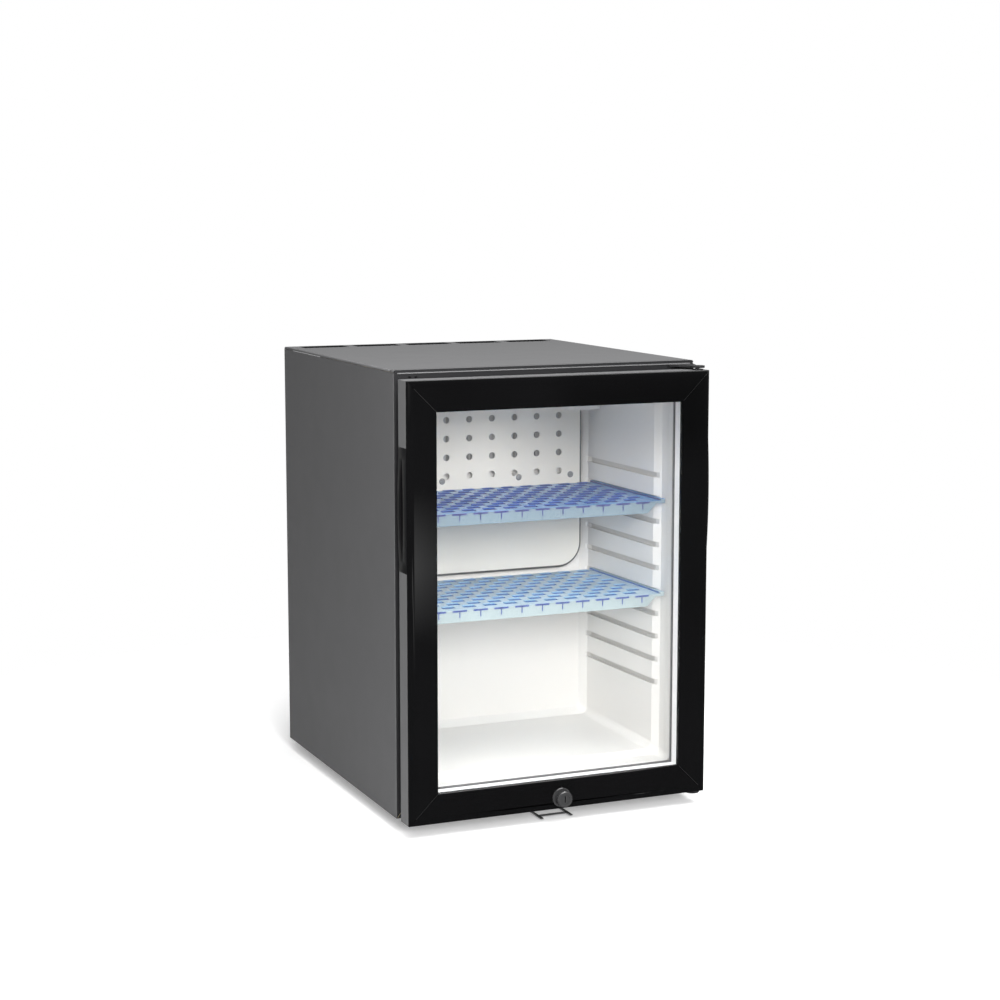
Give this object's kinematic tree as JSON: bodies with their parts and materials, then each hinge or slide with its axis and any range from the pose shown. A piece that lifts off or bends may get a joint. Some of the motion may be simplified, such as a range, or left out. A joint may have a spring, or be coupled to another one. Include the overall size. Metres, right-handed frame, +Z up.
{
  "type": "minibar fridge",
  "caption": "Compact hotel minibar fridge with a right-hung insulating glass door, lock, sliding grid shelves, white grooved liner and an absorption cooling unit in an open rear bay.",
  "frame": {"origin": "middle of the footprint, on the floor under the feet", "axes": "+X to the right seen from the front, +Y to the rear, +Z up; the door faces -Y"},
  "size_m": [0.406, 0.4824, 0.565],
  "materials": {
    "casing_grey": "satin dark grey paint",
    "black_steel": "semi-matt black paint",
    "zinc_sheet": "zinc-plated sheet",
    "foam": "rigid foam",
    "liner_white": "satin white",
    "cover_white": "satin white paint",
    "bright_steel": "bright",
    "aluminium": "mill finish",
    "lens_clear": "frosted",
    "black_plastic": "fine grain",
    "foot_rubber": "matt",
    "frame_grey": "satin grey",
    "fascia_black": "high gloss black",
    "glass": "clear",
    "seal_black": "matt black",
    "grip_black": "satin black",
    "lock_chrome": "dark chrome",
    "shelf_blue_dark": "translucent blue",
    "shelf_blue_light": "translucent light blue"
  },
  "bodies": {
    "cabinet": {"side_panel_right": "casing_grey", "side_panel_left": "casing_grey", "top_panel": "casing_grey", "front_rail": "casing_grey", "base_pan": "black_steel", "back_panel": "zinc_sheet", "insulation": "foam", "inner_liner": "liner_white", "evaporator_cover": "cover_white", "cover_spacers": "liner_white", "evaporator_fins": "aluminium", "evaporator_pipe": "black_steel", "lamp_housing": "liner_white", "lamp_lens": "lens_clear", "top_hinge": "black_steel", "bottom_hinge": "black_steel", "hinge_pins": "bright_steel", "lock_strike": "zinc_sheet", "front_feet": "foot_rubber", "rear_feet": "foot_rubber", "unit_rails": "zinc_sheet", "boiler": "zinc_sheet", "heater": "bright_steel", "absorber_vessel": "black_steel", "absorber_coil": "black_steel", "condenser_pipe": "black_steel", "condenser_fins": "black_steel", "exchanger_pipe": "black_steel", "control_box": "black_plastic", "control_lid": "black_plastic", "cable_gland": "black_plastic"},
    "door": {"door_frame_left": "frame_grey", "door_frame_right": "frame_grey", "door_frame_top": "frame_grey", "door_frame_bottom": "frame_grey", "door_fascia_left": "fascia_black", "door_fascia_right": "fascia_black", "door_fascia_top": "fascia_black", "door_fascia_bottom": "fascia_black", "front_pane": "glass", "rear_pane": "glass", "glass_spacer": "aluminium", "spacer_strips": "seal_black", "glass_edge_seal": "seal_black", "door_seal": "seal_black", "door_grip_left": "grip_black", "door_grip_right": "grip_black", "corner_keys": "black_plastic", "hinge_bushes": "black_plastic", "lock_barrel": "lock_chrome", "lock_nut": "lock_chrome"},
    "lock": {"lock_plug": "lock_chrome", "lock_cam": "bright_steel"},
    "upper_shelf": {"upper_shelf": "shelf_blue_dark"},
    "lower_shelf": {"lower_shelf": "shelf_blue_light"}
  },
  "joints": [
    {"name": "door_hinge", "type": "hinge", "parent": "cabinet", "child": "door", "pos_m": [0.191, -0.21425, 0.28], "axis": [0, 0, 1], "range_deg": [0, 115]},
    {"name": "lock_turn", "type": "hinge", "parent": "door", "child": "lock", "pos_m": [0, -0.22875, 0.033], "axis": [0, -1, 0], "range_deg": [0, 90]},
    {"name": "upper_shelf_slide", "type": "slide", "parent": "cabinet", "child": "upper_shelf", "axis": [0, -1, 0], "range_m": [0, 0.028]},
    {"name": "lower_shelf_slide", "type": "slide", "parent": "cabinet", "child": "lower_shelf", "axis": [0, -1, 0], "range_m": [0, 0.028]}
  ]
}
